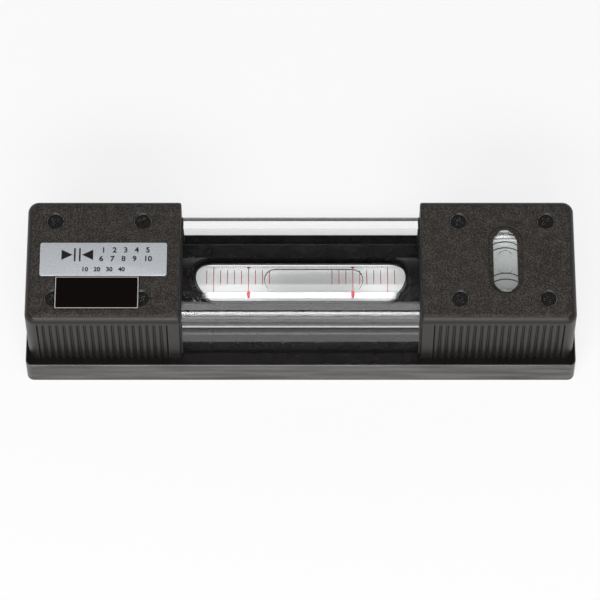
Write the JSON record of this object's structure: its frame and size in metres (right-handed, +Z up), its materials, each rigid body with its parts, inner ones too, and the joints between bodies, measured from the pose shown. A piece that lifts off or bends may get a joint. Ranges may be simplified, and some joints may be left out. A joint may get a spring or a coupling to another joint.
{
  "type": "precision machinist level",
  "caption": "Horizontal precision level: ground cast base with V-groove, ribbed plastic end grips, clear cover over a graduated main vial, and a small cross vial.",
  "frame": {"origin": "middle of the sole, on the plane that it rests on", "axes": "+X along the sole, from the grip with the plates to the grip with the cross vial; +Y to the back; +Z up"},
  "size_m": [0.2, 0.056, 0.0415],
  "materials": {
    "lacquered_iron": "ground sides and sole, black crinkle lacquer above",
    "grip_plastic": "pebbled",
    "black_screw": "blackened",
    "clear_acrylic": "polished",
    "seal_rubber": "matt",
    "silver_plate": "satin, printed",
    "black_label": "gloss",
    "lacquered_tube": "black lacquer",
    "turned_brass": "turned",
    "ground_steel": "ground",
    "vial_glass": "polished",
    "vial_liquid": "clear",
    "bubble_gas": "clear",
    "white_enamel": "gloss white",
    "vial_plaster": "matt",
    "cradle_plastic": "white"
  },
  "bodies": {
    "base": {"base_body": "lacquered_iron", "left_grip": "grip_plastic", "right_grip": "grip_plastic", "left_grip_screws": "black_screw", "right_grip_screws": "black_screw", "clear_cover": "clear_acrylic", "left_cover_seal": "seal_rubber", "right_cover_seal": "seal_rubber", "data_plate": "silver_plate", "blank_label": "black_label", "pivot_pin": "ground_steel", "adjuster_plate": "ground_steel", "adjuster_plate_screws": "ground_steel", "lock_nut": "turned_brass", "leaf_spring": "ground_steel", "cross_vial_glass": "vial_glass", "cross_vial_liquid": "vial_liquid", "cross_vial_cradle": "cradle_plastic"},
    "vial_carrier": {"vial_tube": "lacquered_tube", "pivot_plug": "turned_brass", "adjuster_plug": "turned_brass", "main_vial_glass": "vial_glass", "main_vial_liquid": "vial_liquid", "vial_reflector": "white_enamel", "left_vial_cement": "vial_plaster", "right_vial_cement": "vial_plaster"},
    "main_bubble": {"main_bubble": "bubble_gas"},
    "adjusting_screw": {"adjusting_screw": "ground_steel"},
    "cross_bubble": {"cross_bubble": "bubble_gas"}
  },
  "joints": [
    {"name": "vial_tube_tilt", "type": "hinge", "parent": "base", "child": "vial_carrier", "pos_m": [-0.062, 0, 0.0175], "axis": [0, 1, 0], "range_deg": [-0.1, 0.1]},
    {"name": "adjusting_screw_turn", "type": "hinge", "parent": "base", "child": "adjusting_screw", "pos_m": [0.061, 0, 0.0175], "axis": [0, 0, 1], "range_deg": [-155.6, 155.6]},
    {"name": "main_bubble_slide", "type": "slide", "parent": "vial_carrier", "child": "main_bubble", "axis": [1, 0, 0], "range_m": [-0.0293, 0.0199], "stiffness_N_per_m": 0.5},
    {"name": "cross_bubble_slide", "type": "slide", "parent": "base", "child": "cross_bubble", "axis": [0, 1, 0], "range_m": [-0.0055, 0.0055], "stiffness_N_per_m": 0.2}
  ],
  "couplings": [
    {"joint": "adjusting_screw_turn", "follows": "vial_tube_tilt", "ratio": -1545.7}
  ]
}
